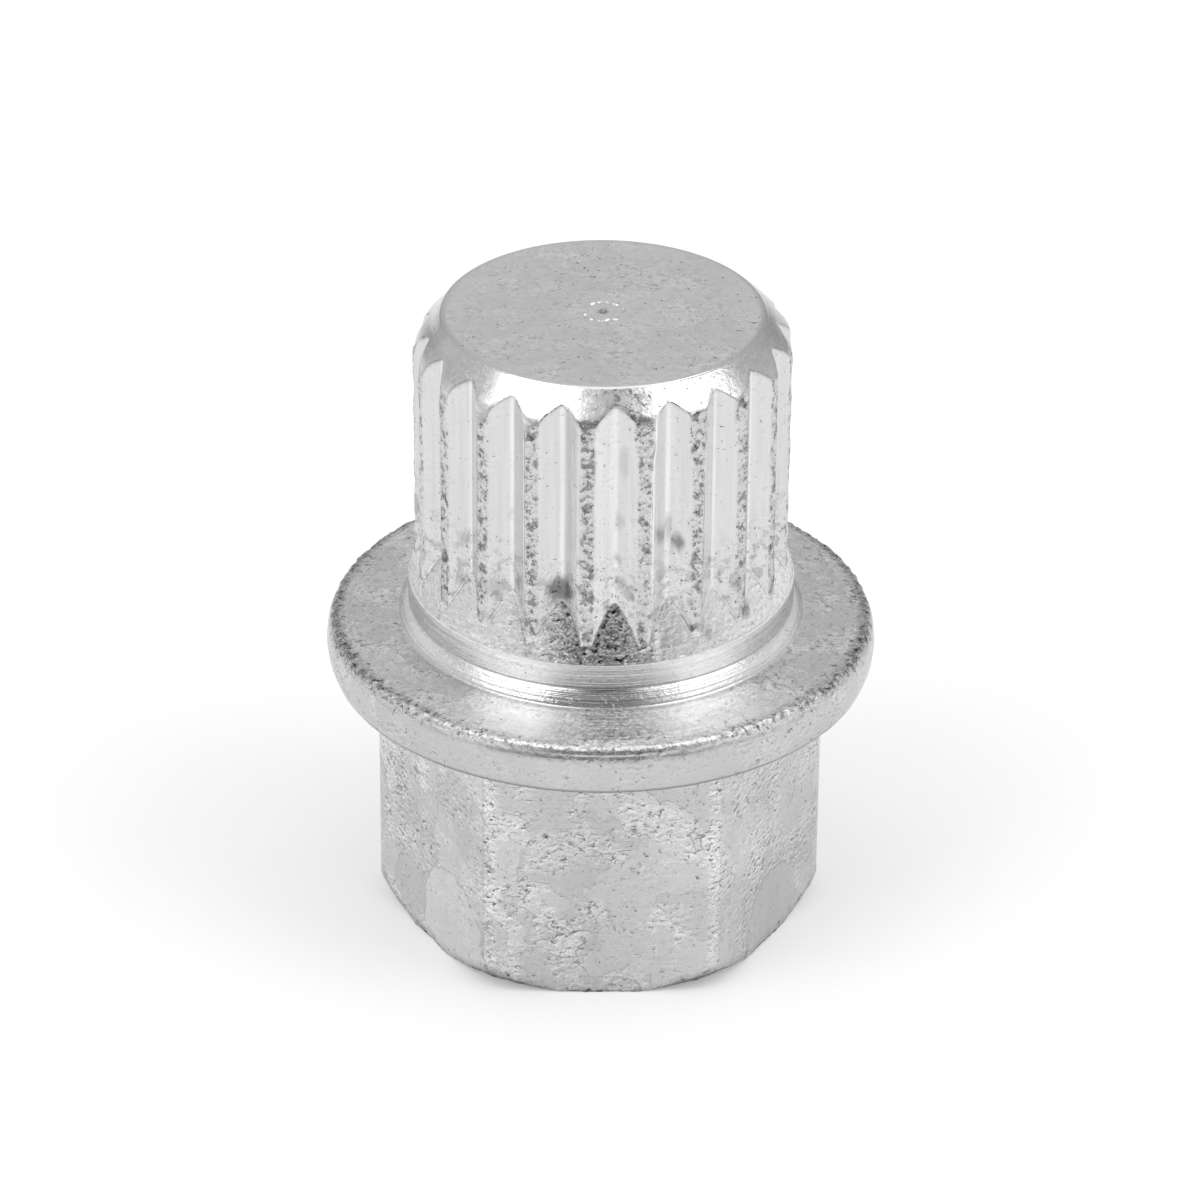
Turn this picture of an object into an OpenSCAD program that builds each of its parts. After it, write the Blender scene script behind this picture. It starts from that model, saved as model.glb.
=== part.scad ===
// Key for locking wheel bolts: a splined head, a round flange and a hexagon
// for the wheel wrench, forged and turned from one piece of steel.
// It stands on the end of its hexagon. Millimetres, +Z up, origin at the
// centre of that end, with one flat of the hexagon facing -Y.

/* [Hexagon] */
// Width across the flats that the wheel wrench grips
hex_af = 17; // [14:0.5:19]
// Height of the hexagon from its free end to the flange
hex_h = 11.8; // [8:0.1:14]
// Radius of the six long corners
hex_corner_r = 1.6; // [0.4:0.1:2]
// Height of the end chamfer where it crosses the corners
hex_chamfer_h = 0.95; // [0.4:0.05:2]
// How far the end chamfer cuts in at the corners
hex_chamfer_in = 0.95; // [0.4:0.05:1.2]

/* [Flange] */
// Diameter at the widest line of the rim
flange_d = 23.5; // [22.5:0.1:27]
// Thickness at the rim
flange_t = 2.2; // [1.6:0.1:4]
// How far the rim bellies out between its two edges
flange_belly = 0.2; // [0.1:0.05:0.4]
// Radius of the two rim edges
flange_edge_r = 0.3; // [0.1:0.05:0.4]
// How much the top face rises from the rim to the neck
flange_rise = 0.2; // [0:0.05:0.6]

/* [Neck] */
// Diameter of the plain neck
neck_d = 16.5; // [16.3:0.1:18]
// Height of the plain neck
neck_h = 1.15; // [0.6:0.05:3]
// Diameter of the low foot round the neck
foot_d = 17.2; // [16.9:0.1:18.6]
// Height of the foot above the flange
foot_h = 0.65; // [0.5:0.05:1.2]
// Height of the upright edge of the foot
foot_step = 0.1; // [0.05:0.05:0.3]
// Radius that eases the edges of the neck and foot
neck_edge_r = 0.05; // [0.02:0.01:0.08]
// Radius that blends the neck into the cone above it
cone_blend_r = 0.4; // [0.05:0.05:0.8]

/* [Splined head] */
// Height of the whole key
total_h = 28.3; // [24:0.1:34]
// Diameter over the spline ridges
spline_d = 16; // [15:0.1:16]
// Number of ridges, set evenly round the head
spline_count = 21; // [14:1:24]
// Depth of the grooves between the ridges
spline_depth = 0.7; // [0.4:0.05:0.8]
// Width of the narrow land along each ridge
spline_land = 0.42; // [0.2:0.02:0.7]
// Radius at the bottom of each groove
groove_root_r = 0.15; // [0.05:0.05:0.3]
// Turn of the first ridge from the middle of the front flat, in degrees
spline_turn = -5.2; // [-8.5:0.1:8.5]
// Angle from the axis of the cone in which the grooves run out
runout_angle = 20; // [15:1:30]

/* [Tip] */
// Diameter of the flat end face
tip_face_d = 13.5; // [12:0.1:14.5]
// Height of the chamfer where its line meets the ridges
tip_chamfer_h = 1.3; // [0.8:0.05:2]
// Radius that blends the chamfer into the ridges
tip_blend_r = 1.2; // [0.3:0.1:1.5]
// Radius of the edge round the end face
tip_edge_r = 0.15; // [0.05:0.05:0.3]
// Diameter of the shallow centre mark left by turning
mark_d = 1.4; // [0.6:0.1:3]
// Depth of the centre mark
mark_depth = 0.08; // [0.02:0.02:0.3]

/* [Hidden] */

// Facets of round forms and of each rounded corner
round_facets = 96;
corner_steps = 6;
belly_steps = 4;
// Every cut and joint runs past its partner by this much
overlap = 1;

// Levels up the axis
flange_top_z = hex_h + flange_t;
foot_z = flange_top_z + flange_rise;
neck_z = foot_z + foot_h;
neck_top_z = neck_z + neck_h;

// The run-out cone narrows from the neck to inside the groove roots
root_r = spline_d / 2 - spline_depth;
cone_r = root_r - spline_depth / 2;
cone_top_z = neck_top_z + (neck_d / 2 - cone_r) / tan(runout_angle);

// Distance from the axis to the rounded corners of the hexagon
hex_reach = hex_af / 2 / cos(30) - hex_corner_r * (1 / cos(30) - 1);

// The rim is one shallow arc through its edges and its widest line
belly_r = (pow(flange_t / 2, 2) + pow(flange_belly, 2)) / (2 * flange_belly);
belly_angle = asin(flange_t / 2 / belly_r);

// One groove spans the pitch less the land, measured at the ridges
groove_half_w = PI * spline_d / spline_count / 2 - spline_land / 2;
flank_angle = atan(groove_half_w / spline_depth);

function unit(v) = v / norm(v);

// Points that round the corner at b between a and c
function corner(a, b, c, r) =
    let (
        to_a = unit([a[0] - b[0], a[1] - b[1]]),
        to_c = unit([c[0] - b[0], c[1] - b[1]]),
        half = acos(to_a * to_c) / 2,
        centre = [b[0], b[1]] + unit(to_a + to_c) * r / sin(half),
        start = [b[0], b[1]] + to_a * r / tan(half) - centre,
        turn = sign(to_a[1] * to_c[0] - to_a[0] * to_c[1]) * (180 - 2 * half)
    )
    [for (i = [0:corner_steps])
        let (a = i / corner_steps * turn)
        centre + [start[0] * cos(a) - start[1] * sin(a),
                  start[0] * sin(a) + start[1] * cos(a)]];

// A closed outline from corners given as [x, y, rounding]
function rounded(p) =
    let (n = len(p))
    [for (i = [0:n - 1])
        each p[i][2] == 0
            ? [[p[i][0], p[i][1]]]
            : corner(p[(i + n - 1) % n], p[i], p[(i + 1) % n], p[i][2])];

// Corners of the rim, from its lower edge to its upper edge
function rim() =
    [for (i = [0:belly_steps])
        let (
            a = (2 * i / belly_steps - 1) * belly_angle,
            is_edge = i == 0 || i == belly_steps
        )
        [flange_d / 2 - belly_r * (1 - cos(a)),
         hex_h + flange_t / 2 + belly_r * sin(a),
         is_edge ? flange_edge_r : 0]];

// Outline of the flange, foot, neck and run-out cone
function body_outline() = rounded(concat(
    [[0, hex_h, 0]],
    rim(),
    [[foot_d / 2, foot_z, 0],
     [foot_d / 2, foot_z + foot_step, neck_edge_r],
     [neck_d / 2, neck_z, neck_edge_r],
     [neck_d / 2, neck_top_z, cone_blend_r],
     [cone_r, cone_top_z, 0],
     [0, cone_top_z, 0]]));

// Outline of the head before its grooves
function head_outline() = rounded([
    [0, neck_z, 0],
    [spline_d / 2, neck_z, 0],
    [spline_d / 2, total_h - tip_chamfer_h, tip_blend_r],
    [tip_face_d / 2, total_h, tip_edge_r],
    [mark_d / 2, total_h, 0],
    [0, total_h - mark_depth, 0]]);

// Section of one groove, opening towards -Y, with a rounded root
function groove_outline() =
    let (reach = groove_half_w + overlap * tan(flank_angle))
    rounded([
        [-reach, -spline_d / 2 - overlap, 0],
        [0, -root_r, groove_root_r],
        [reach, -spline_d / 2 - overlap, 0]]);

// Section of the hexagon with its round corners, one flat towards -Y
function hexagon_outline() =
    let (r = hex_af / 2 / cos(30))
    rounded([for (i = [0:5]) [r * cos(i * 60), r * sin(i * 60), hex_corner_r]]);

// Hexagon with its free end turned to a chamfer
module hexagon_drive() {
    start_r = hex_reach - hex_chamfer_in;
    run_r = hex_reach + overlap;
    run_z = hex_chamfer_h * (run_r - start_r) / hex_chamfer_in;
    intersection() {
        linear_extrude(hex_h + overlap)
            polygon(hexagon_outline());
        rotate_extrude($fn = round_facets)
            polygon([[0, 0], [start_r, 0], [run_r, run_z],
                     [run_r, hex_h + overlap], [0, hex_h + overlap]]);
    }
}

// Flange, foot, neck and run-out cone, turned in one go
module flange_and_neck() {
    rotate_extrude($fn = round_facets)
        polygon(body_outline());
}

// Head with straight grooves, open at the tip
module splined_head() {
    difference() {
        rotate_extrude($fn = round_facets)
            polygon(head_outline());
        for (i = [0:spline_count - 1]) {
            rotate(spline_turn + (i + 0.5) * 360 / spline_count)
                translate([0, 0, neck_z - overlap])
                    linear_extrude(total_h - neck_z + 2 * overlap)
                        polygon(groove_outline());
        }
    }
}

module wheel_lock_key() {
    color([0.74, 0.74, 0.74]) {
        union() {
            hexagon_drive();
            flange_and_neck();
            splined_head();
        }
    }
}

wheel_lock_key();
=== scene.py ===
import math
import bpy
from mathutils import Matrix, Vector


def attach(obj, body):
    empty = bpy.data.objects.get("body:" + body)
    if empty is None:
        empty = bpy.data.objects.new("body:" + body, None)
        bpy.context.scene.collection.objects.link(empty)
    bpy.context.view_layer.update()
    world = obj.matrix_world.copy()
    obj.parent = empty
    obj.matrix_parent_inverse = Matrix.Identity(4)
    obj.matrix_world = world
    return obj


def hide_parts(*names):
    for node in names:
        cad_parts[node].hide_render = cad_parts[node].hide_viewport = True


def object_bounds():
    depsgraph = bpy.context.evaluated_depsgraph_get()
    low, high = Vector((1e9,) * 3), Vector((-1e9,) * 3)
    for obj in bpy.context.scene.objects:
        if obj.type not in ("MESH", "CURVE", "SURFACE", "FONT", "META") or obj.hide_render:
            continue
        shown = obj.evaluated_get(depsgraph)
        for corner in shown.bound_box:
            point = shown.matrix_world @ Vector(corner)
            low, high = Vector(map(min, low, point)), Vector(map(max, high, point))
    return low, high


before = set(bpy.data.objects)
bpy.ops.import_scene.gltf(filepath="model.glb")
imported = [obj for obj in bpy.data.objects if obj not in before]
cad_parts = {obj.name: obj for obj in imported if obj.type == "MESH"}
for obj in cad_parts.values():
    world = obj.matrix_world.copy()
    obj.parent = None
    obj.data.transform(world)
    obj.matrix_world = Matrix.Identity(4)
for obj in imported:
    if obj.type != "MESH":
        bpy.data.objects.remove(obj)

from types import SimpleNamespace

import bpy
import numpy as np
from bpy.props import FloatProperty, FloatVectorProperty, IntProperty, PointerProperty
from mathutils import Quaternion, Vector, noise

bl_info = {
    "name": "Wheel lock key",
    "version": (1, 0, 0),
    "blender": (4, 5, 0),
    "location": "View3D > Sidebar > Wheel lock key",
    "description": "A zinc plated key for locking wheel nuts, on a plain studio floor",
    "category": "Add Mesh",
}

NODE = "wheel_lock_key"
MM = 0.001
CAD_LOW, CAD_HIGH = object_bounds()

# Columns of the mesh all round: a multiple of the ridges, of the flats and of eight
COLUMNS = 504
MOST_TRIANGLES = 200000


def size(name, description, default_mm):
    """A length property that is written in millimetres and kept in metres."""
    return FloatProperty(name=name, description=description, default=default_mm * MM,
                         min=0.0, subtype="DISTANCE", unit="LENGTH", precision=5)


def share(name, description, default):
    """A property from 0 to 1."""
    return FloatProperty(name=name, description=description, default=default,
                         min=0.0, max=1.0, subtype="FACTOR")


def angle(name, description, default_degrees):
    """An angle property that is written in degrees and kept in radians."""
    return FloatProperty(name=name, description=description,
                         default=math.radians(default_degrees),
                         subtype="ANGLE", unit="ROTATION")


class KeyShape(bpy.types.PropertyGroup):
    """Real sizes of the key"""

    total_h: size("Height", "Height of the whole key", CAD_HIGH.z / MM)
    hex_af: size("Across flats", "Width of the hexagon across its flats", 17.0)
    hex_h: size("Hexagon height", "From the free end to the flange", 11.8)
    hex_corner_r: size("Corner radius", "Radius of the six long corners", 1.6)
    hex_chamfer_h: size("Chamfer height", "Height of the end chamfer at the corners", 0.95)
    hex_chamfer_in: size("Chamfer depth", "How far the end chamfer cuts in", 0.95)
    flange_d: size("Flange diameter", "At the widest line of the rim", 23.5)
    flange_t: size("Flange thickness", "Thickness at the rim", 2.2)
    flange_belly: size("Rim belly", "How far the rim bellies out", 0.27)
    flange_edge_r: size("Rim edge radius", "Radius of the rim's upper edge", 0.3)
    flange_low_edge_r: size("Lower edge radius", "Radius of the rim's lower edge", 0.12)
    flange_rise: size("Flange rise", "Rise of the top face towards the neck", 0.2)
    neck_d: size("Neck diameter", "Diameter of the plain neck", 16.5)
    neck_h: size("Neck height", "Height of the plain neck", 1.15)
    foot_d: size("Foot diameter", "Diameter of the low foot round the neck", 17.2)
    foot_h: size("Foot height", "Height of the foot above the flange", 0.65)
    foot_step: size("Foot step", "Height of the upright edge of the foot", 0.1)
    neck_edge_r: size("Neck edge radius", "Eases the edges of neck and foot", 0.05)
    cone_blend_r: size("Cone blend", "Blends the neck into the cone above it", 0.4)
    spline_d: size("Spline diameter", "Diameter over the ridges", 16.0)
    spline_depth: size("Groove depth", "Depth of the grooves", 0.7)
    spline_land: size("Land width", "Width of the land along each ridge", 0.42)
    groove_root_w: size("Root width", "Half width of the rounded groove root", 0.16)
    crest_drop: size("Crest drop", "How far the rough crests stay below full form", 0.06)
    tip_face_d: size("End face diameter", "Diameter of the flat end face", 13.5)
    tip_chamfer_h: size("Tip chamfer", "Height of the chamfer at the ridges", 1.3)
    tip_blend_r: size("Tip blend", "Blend between chamfer and ridges", 1.2)
    tip_edge_r: size("Tip edge radius", "Radius of the edge round the end face", 0.15)
    tip_lean: size("Tip lean", "How much further the chamfer is cut at the back left", 0.09)
    tip_tilt: size("Tip tilt", "How much further the chamfer is cut on the left", 0.05)
    mark_d: size("Centre mark", "Diameter of the centre mark", 1.4)
    mark_depth: size("Mark depth", "Depth of the centre mark", 0.08)
    mark_ring_depth: size("Mark ring", "Depth of the broken ring round the mark", 0.075)
    spline_count: IntProperty(name="Ridges", description="Number of ridges",
                              default=21, min=3)
    spline_turn: angle("Spline turn", "From the front flat to the first ridge", -5.2)
    runout_angle: angle("Run-out angle", "Angle of the run-out cone from the axis", 20.0)


class KeyFinish(bpy.types.PropertyGroup):
    """Tone of each surface, and the depth of its wear"""

    tint: FloatVectorProperty(name="Tint", description="Colour of the zinc at full tone",
                              subtype="COLOR", size=3, min=0.0, max=1.0,
                              default=(0.995, 0.998, 1.0))
    face_tone: share("End face", "Reflectance of the end face", 0.76)
    chamfer_tone: share("Chamfer", "Reflectance of the tip chamfer", 0.78)
    groove_tone: share("Grooves", "Reflectance of the groove flanks", 0.66)
    ridge_tone: share("Ridges", "Reflectance of the rough ridge lands", 0.64)
    cone_tone: share("Run-out", "Reflectance of the run-out cone", 0.74)
    neck_tone: share("Neck", "Reflectance of neck and foot", 0.76)
    flange_tone: share("Flange", "Reflectance of the flange's top face", 0.74)
    rim_tone: share("Rim", "Reflectance of the rim", 0.56)
    hex_tone: share("Hexagon", "Reflectance of the hexagon", 0.60)
    speck_dark: share("Specks", "How dark the specks are", 0.62)
    dot_dark: share("Dots", "How dark the small round pits are", 0.45)
    dash_dark: share("Dashes", "How dark the short flat marks are", 0.30)
    blot_dark: share("Blots", "How dark the smudges are", 0.50)
    spot_dark: share("Spots", "How dark the round spots in the grooves are", 0.45)
    crack_dark: share("Cracks", "How dark the lines round the worn sheets are", 0.42)
    pepper_dark: share("Pepper", "How dark the finest pits are", 0.28)
    stain_dark: share("Stains", "How dark the stains on the grooves are", 0.54)
    streak_depth: share("Streaks", "Contrast of the drawn streaks", 0.26)
    line_depth: share("Lines", "Contrast of the turned lines", 0.36)
    bump_depth: size("Bump", "Depth of the finest relief", 0.09)
    land_dents: size("Land dents", "Relief of the rough ridge lands", 0.018)
    cone_dents: size("Cone dents", "Relief of the run-out cone", 0.012)
    rim_dents: size("Rim dents", "Relief of the battered rim edge", 0.055)
    rim_loss: size("Rim loss", "How much of the rim edge is worn away", 0.03)
    blunting: size("Blunting", "How much the hexagon and rim are blunted", 0.02)
    edge_dip: size("Edge dip", "How deep the lines beside arches and run-outs go", 0.02)


class StudioSetup(bpy.types.PropertyGroup):
    """Camera, floor and light"""

    distance: size("Distance", "From the camera to the middle of the key", 251.7)
    aim_h: size("Aim height", "Height of the point that the camera looks at", 14.46)
    aim_left: size("Aim left", "How far left of the axis it looks", 0.04)
    middle_h: size("Middle height", "Height of the middle that the camera turns round", 14.0)
    elevation: angle("Elevation", "Height of the camera above the horizon", 29.86)
    azimuth: angle("Azimuth", "Turn of the camera round the key", -1.0)
    roll: angle("Roll", "Tilt of the camera about its own axis", 0.45)
    lens: FloatProperty(name="Lens", description="Focal length in millimetres",
                        default=176.2, min=1.0)
    floor_colour: FloatVectorProperty(name="Floor", description="Colour of the floor",
                                      subtype="COLOR", size=3, min=0.0, max=1.0,
                                      default=(0.80, 0.80, 0.80))
    floor_lift: share("Floor lift", "White that camera and metal see in the floor", 0.25)
    tent_tone: share("Tent", "Brightness of the light tent above the floor", 0.66)
    tent_foot: share("Tent foot", "The tent's brightness at the floor, as a share", 0.72)
    tent_sides: share("Tent sides", "How much brighter its low sides are", 0.30)
    ceiling_tone: FloatProperty(name="Ceiling", description="Brightness straight above",
                                default=1.28, min=0.0)
    opening_tone: share("Opening", "Brightness of the tent's front opening", 0.22)
    opening_left: angle("Opening left", "Turn of the opening's left side", 33.0)
    opening_right: angle("Opening right", "Turn of the opening's right side", 26.0)
    floor_size: size("Floor size", "Side of the square floor", 1800.0)
    lamp_distance: size("Lamp distance", "From each lamp to the key", 330.0)
    lamp_size: size("Lamp size", "Side of each soft lamp", 220.0)
    lamp_power: FloatProperty(name="Lamp power", description="Power of each soft lamp",
                              subtype="POWER", unit="POWER", default=0.30, min=0.0)


def smooth(x):
    """Smoothstep of x between 0 and 1."""
    x = np.clip(x, 0.0, 1.0)
    return x * x * (3.0 - 2.0 * x)


def spread(count, ends):
    """Steps from 0 to 1, drawn towards both ends by the share given."""
    s = np.linspace(0.0, 1.0, count)
    return s + ends * ((1.0 - np.cos(math.pi * s)) / 2.0 - s)


def rounded(corners, steps=6):
    """An outline from corners (radius, height, rounding)."""
    points = []
    for i, (r, z, rounding) in enumerate(corners):
        here = Vector((r, z))
        if rounding == 0.0:
            points.append(here)
            continue
        back = (Vector(corners[i - 1][:2]) - here).normalized()
        ahead = (Vector(corners[i + 1][:2]) - here).normalized()
        half = back.angle(ahead) / 2.0
        centre = here + (back + ahead).normalized() * rounding / math.sin(half)
        first = here + back * rounding / math.tan(half) - centre
        last = here + ahead * rounding / math.tan(half) - centre
        for k in range(steps + 1):
            t = k / steps
            arc = (first.lerp(last, t)).normalized() * rounding
            points.append(centre + arc)
    return points


def filled(points, longest, is_fine):
    """The outline with points added, so that no step is over the longest, or half where fine."""
    out = [points[0]]
    for a, b in zip(points, points[1:]):
        limit = longest / 2.0 if is_fine(b) else longest
        pieces = max(1, math.ceil((b - a).length / limit))
        out += [a.lerp(b, (k + 1) / pieces) for k in range(pieces)]
    return out


# What a ring's points may be, from 0 to 1: on a ridge land or a groove root, by the edge of
# an arch or a run-out, or on the lower hem of the hexagon
MARKS = ("land", "root", "arch", "runout", "hem")


class Ring:
    """One ring of the skin: its part of the surface, its points all round and their marks."""

    def __init__(self, part, az, r, z, **marks):
        self.part = part
        values = [marks.get(name, 0.0) for name in MARKS]
        self.az, self.r, self.z, *values = np.broadcast_arrays(az, r, z, *values)
        for name, value in zip(MARKS, values):
            setattr(self, name, value)


# Rings up each stretch of the skin
CHAMFER_RINGS = 6
HEX_RINGS = 22
CONE_RINGS = 16
SPLINE_RINGS = 33
TIP_RINGS = 13
BELLY_RINGS = 5

# Rings of the hexagon's end: every how many columns, and the share of its radius
END_RINGS = ((8, 0.12), (8, 0.25), (4, 0.40), (2, 0.60), (1, 0.80), (1, 0.95), (1, 0.99))

# Rings of the tip's end face: every how many columns, outer and inner radius in millimetres,
# and how many rings between them
FACE_RINGS = (
    (1, 6.5, 4.6, 8),
    (2, 4.4, 2.4, 9),
    (4, 2.2, 1.1, 6),
    (4, 1.06, 0.66, 17),
    (8, 0.60, 0.04, 12),
)

# How far the columns are drawn towards the hexagon's corners, and towards ridges and roots
CORNER_PULL = 0.05
RIDGE_PULL = 0.35

# The turned outline: how far inside the rim it starts, its longest step, which is halved
# close to the rim's upper edge, and how far below that edge the rim ends
UNDER_REACH = 1.2 * MM
TURNED_STEP = 0.2 * MM
RIM_EDGE_REACH = 0.45 * MM
RIM_EDGE_INSIDE = 0.75 * MM
RIM_SHOULDER = 0.32 * MM

# The hexagon's fillet under the flange, and the end chamfer's least height on the flats
UNDER_FILLET = 0.12 * MM
FILLET_STEPS = (0.35, 0.7, 1.0)
LEAST_CHAMFER = 0.12 * MM

# The fine groove where the neck meets the foot: its depth, middle and top
GROOVE_IN = 0.04 * MM
GROOVE_MIDDLE = 0.03 * MM
GROOVE_TOP = 0.07 * MM

# Reach of the lines beside run-out, arch and chamfer, and of a land's edge
CONE_LINE = 0.12 * MM
RUNOUT_LINE = 0.16 * MM
ARCH_LINE = 0.14 * MM
CHAMFER_LINE = 0.12 * MM
LAND_EDGE = 0.05 * MM

# The crests: broad and narrow waves along them, and how much they rise or fall at the ends
BROAD_WAVE = 0.028 * MM
NARROW_WAVE = 0.020 * MM
CREST_FOOT = 0.04 * MM
CREST_HIGH = 0.07 * MM
CREST_LOW = 0.10 * MM

# The centre mark: where places round it are measured, its dimple and mean ring as shares of
# its diameter, and half the width of the ring
MARK_ROUND_R = 0.86 * MM
MARK_DIMPLE = 0.14
MARK_RING = 0.61
MARK_RING_W = 0.10 * MM


class KeyForm:
    """The true surface of the key, column by column and ring by ring."""

    def __init__(self, shape):
        self.s = s = shape
        self.flange_top = s.hex_h + s.flange_t
        self.foot_z = self.flange_top + s.flange_rise
        self.neck_z = self.foot_z + s.foot_h
        self.neck_top = self.neck_z + s.neck_h
        self.ridge_r = s.spline_d / 2.0
        self.root_r = self.ridge_r - s.spline_depth
        self.pitch = math.tau / s.spline_count
        half_pitch = self.pitch * self.ridge_r / 2.0
        self.flank_slope = s.spline_depth / (half_pitch - s.spline_land / 2.0)
        self.tip_r = s.tip_face_d / 2.0
        self.even = s.spline_turn + np.arange(COLUMNS) * math.tau / COLUMNS
        self.spline_az = self.ridge_columns()
        from_corner = (self.even - math.radians(30.0)) * 6.0
        self.hex_az = self.even - CORNER_PULL * np.sin(from_corner)
        self.groove = self.groove_radius(self.spline_az)
        self.low = self.cone_end()
        self.high_r, self.high = self.tip_end()

    def ridge_columns(self):
        """Azimuths drawn a little towards every ridge and every root."""
        u = (self.even - self.s.spline_turn) / self.pitch * 2.0
        return self.even - RIDGE_PULL * self.pitch / 2.0 * np.sin(u * math.tau) / math.tau

    def hex_radius(self, az):
        """Distance from the axis to the round-cornered hexagon."""
        s = self.s
        flat = s.hex_af / 2.0
        turn = math.radians(60.0)
        off = np.abs((az + turn / 2.0) % turn - turn / 2.0)
        to_centre = (flat - s.hex_corner_r) / math.cos(turn / 2.0)
        side = to_centre * np.sin(turn / 2.0 - off)
        reach = np.sqrt(np.maximum(s.hex_corner_r ** 2 - side ** 2, 0.0))
        arc = to_centre * np.cos(turn / 2.0 - off) + reach
        on_arc = np.tan(off) > (flat - s.hex_corner_r) * math.tan(turn / 2.0) / flat
        return np.where(on_arc, arc, flat / np.cos(off))

    def groove_radius(self, az):
        """Distance from the axis to the flanks and rounded roots of the grooves."""
        s = self.s
        off = (az - s.spline_turn) % self.pitch - self.pitch / 2.0
        r = np.full_like(az, self.root_r)
        # The flank's distance depends on r itself, and settles in a few rounds
        for _ in range(8):
            across = np.sqrt((r * np.sin(off)) ** 2 + s.groove_root_w ** 2)
            r = (self.root_r - s.crest_drop + self.flank_slope * across) / np.cos(off)
        return r

    def crest_radius(self, az, z):
        """Radius of the crests, which the forging didn't fill evenly."""
        s = self.s
        by_tip = smooth((z - s.total_h + 4.0 * MM) / (2.2 * MM))
        by_cone = smooth((self.neck_top + 2.2 * MM - z) / (1.2 * MM))
        high_side = near(az, -48.0, 48.0)
        low_side = near(az, 24.0, 48.0)
        along = az * self.ridge_r
        waves = (BROAD_WAVE * ripple(along, z, 0.9 * MM, 3.0)
                 + NARROW_WAVE * ripple(along, z, 0.4 * MM, 8.0))
        return (self.ridge_r - s.crest_drop + waves + CREST_FOOT * by_cone
                + by_tip * (CREST_HIGH * high_side - CREST_LOW * low_side))

    def cone_height(self, r):
        """Height at which the run-out cone has radius r."""
        return self.neck_top + (self.s.neck_d / 2.0 - r) / math.tan(self.s.runout_angle)

    def tip_height(self, r, az):
        """Height of the blended chamfer at radius r. It sits a little off the axis."""
        s = self.s
        lean = s.tip_lean * near(az, -120.0, 80.0) - s.tip_tilt * np.sin(az)
        r = r + lean * smooth((r - self.tip_r) / (0.5 * MM))
        across = self.ridge_r - self.tip_r
        slope = math.atan2(s.tip_chamfer_h, across)
        reach = s.tip_blend_r * math.tan((math.pi / 2.0 - slope) / 2.0)
        arc_z = s.total_h - s.tip_chamfer_h - reach
        arc_end = self.ridge_r - reach * math.cos(slope)
        inside = r - (self.ridge_r - s.tip_blend_r)
        arc = arc_z + np.sqrt(np.maximum(s.tip_blend_r ** 2 - inside ** 2, 0.0))
        straight = s.total_h - (r - self.tip_r) * math.tan(slope)
        return np.where(r > arc_end, arc, straight)

    def cone_end(self):
        """Height all round at which grooves and ridges leave the run-out cone."""
        az = self.spline_az
        crest = self.crest_radius(az, np.full_like(az, self.neck_top))
        return self.cone_height(np.minimum(self.groove, crest))

    def tip_end(self):
        """Radius and height all round at which grooves and ridges meet the tip's chamfer."""
        az = self.spline_az
        z = np.full_like(az, self.s.total_h - self.s.tip_chamfer_h)
        for _ in range(4):
            r = np.minimum(self.groove, self.crest_radius(az, z))
            z = self.tip_height(r, az)
        return r, z

    def rings(self):
        """All rings, from the middle of the hexagon's end to the middle of the tip."""
        yield from self.end_rings()
        yield from self.hexagon_rings()
        yield from self.turned_rings()
        yield from self.cone_rings()
        yield from self.spline_rings()
        yield from self.chamfer_rings()
        yield from self.tip_rings()

    def end_rings(self):
        """The hexagon's free end, out to where its chamfer begins."""
        r = self.hex_radius(self.hex_az)
        edge = np.minimum(r, np.max(r) - self.s.hex_chamfer_in)
        for every, part in END_RINGS:
            yield Ring("end", self.hex_az[::every], edge[::every] * part, 0.0)

    def hexagon_rings(self):
        """The end chamfer, the flats and the fillet under the flange."""
        s = self.s
        az = self.hex_az
        r = self.hex_radius(az)
        start = np.max(r) - s.hex_chamfer_in
        slope = s.hex_chamfer_h / s.hex_chamfer_in
        top = np.maximum((r - start) * slope, LEAST_CHAMFER)
        for t in spread(CHAMFER_RINGS, 0.5):
            z = top * t
            yield Ring("hex end", az, np.minimum(r, start + z / slope), z, hem=1.0 - 0.7 * t)
        for t in spread(HEX_RINGS, 0.3)[1:]:
            yield Ring("hex", az, r, top + (s.hex_h - UNDER_FILLET - top) * t)
        for t in FILLET_STEPS:
            turn = t * math.pi / 2.0
            yield Ring("under", az + (self.even - az) * t * 0.3,
                       r + UNDER_FILLET * (1.0 - math.cos(turn)),
                       s.hex_h - UNDER_FILLET * (1.0 - math.sin(turn)))

    def turned_outline(self):
        """Rim, flange top, foot and neck, from under the rim upwards."""
        s = self.s
        half = s.flange_t / 2.0
        belly_r = (half ** 2 + s.flange_belly ** 2) / (2.0 * s.flange_belly)
        angle = math.asin(half / belly_r)
        rim = [(s.flange_d / 2.0 - belly_r * (1.0 - math.cos(a)),
                s.hex_h + half + belly_r * math.sin(a), 0.0)
               for a in np.linspace(-angle, angle, BELLY_RINGS)]
        rim[0] = (*rim[0][:2], s.flange_low_edge_r)
        rim[-1] = (*rim[-1][:2], s.flange_edge_r)
        foot, neck = s.foot_d / 2.0, s.neck_d / 2.0
        inside = (rim[0][0] - UNDER_REACH, s.hex_h, 0.0)
        ahead = 0.5 * MM
        cone = (neck - ahead, self.neck_top + ahead / math.tan(s.runout_angle), 0.0)
        return rounded([
            inside, *rim,
            (foot, self.foot_z, 0.0),
            (foot, self.foot_z + s.foot_step, s.neck_edge_r),
            (neck, self.neck_z, 0.0),
            (neck - GROOVE_IN, self.neck_z + GROOVE_MIDDLE, 0.0),
            (neck, self.neck_z + GROOVE_TOP, 0.0),
            (neck, self.neck_top, s.cone_blend_r), cone])[:-1]

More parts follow.
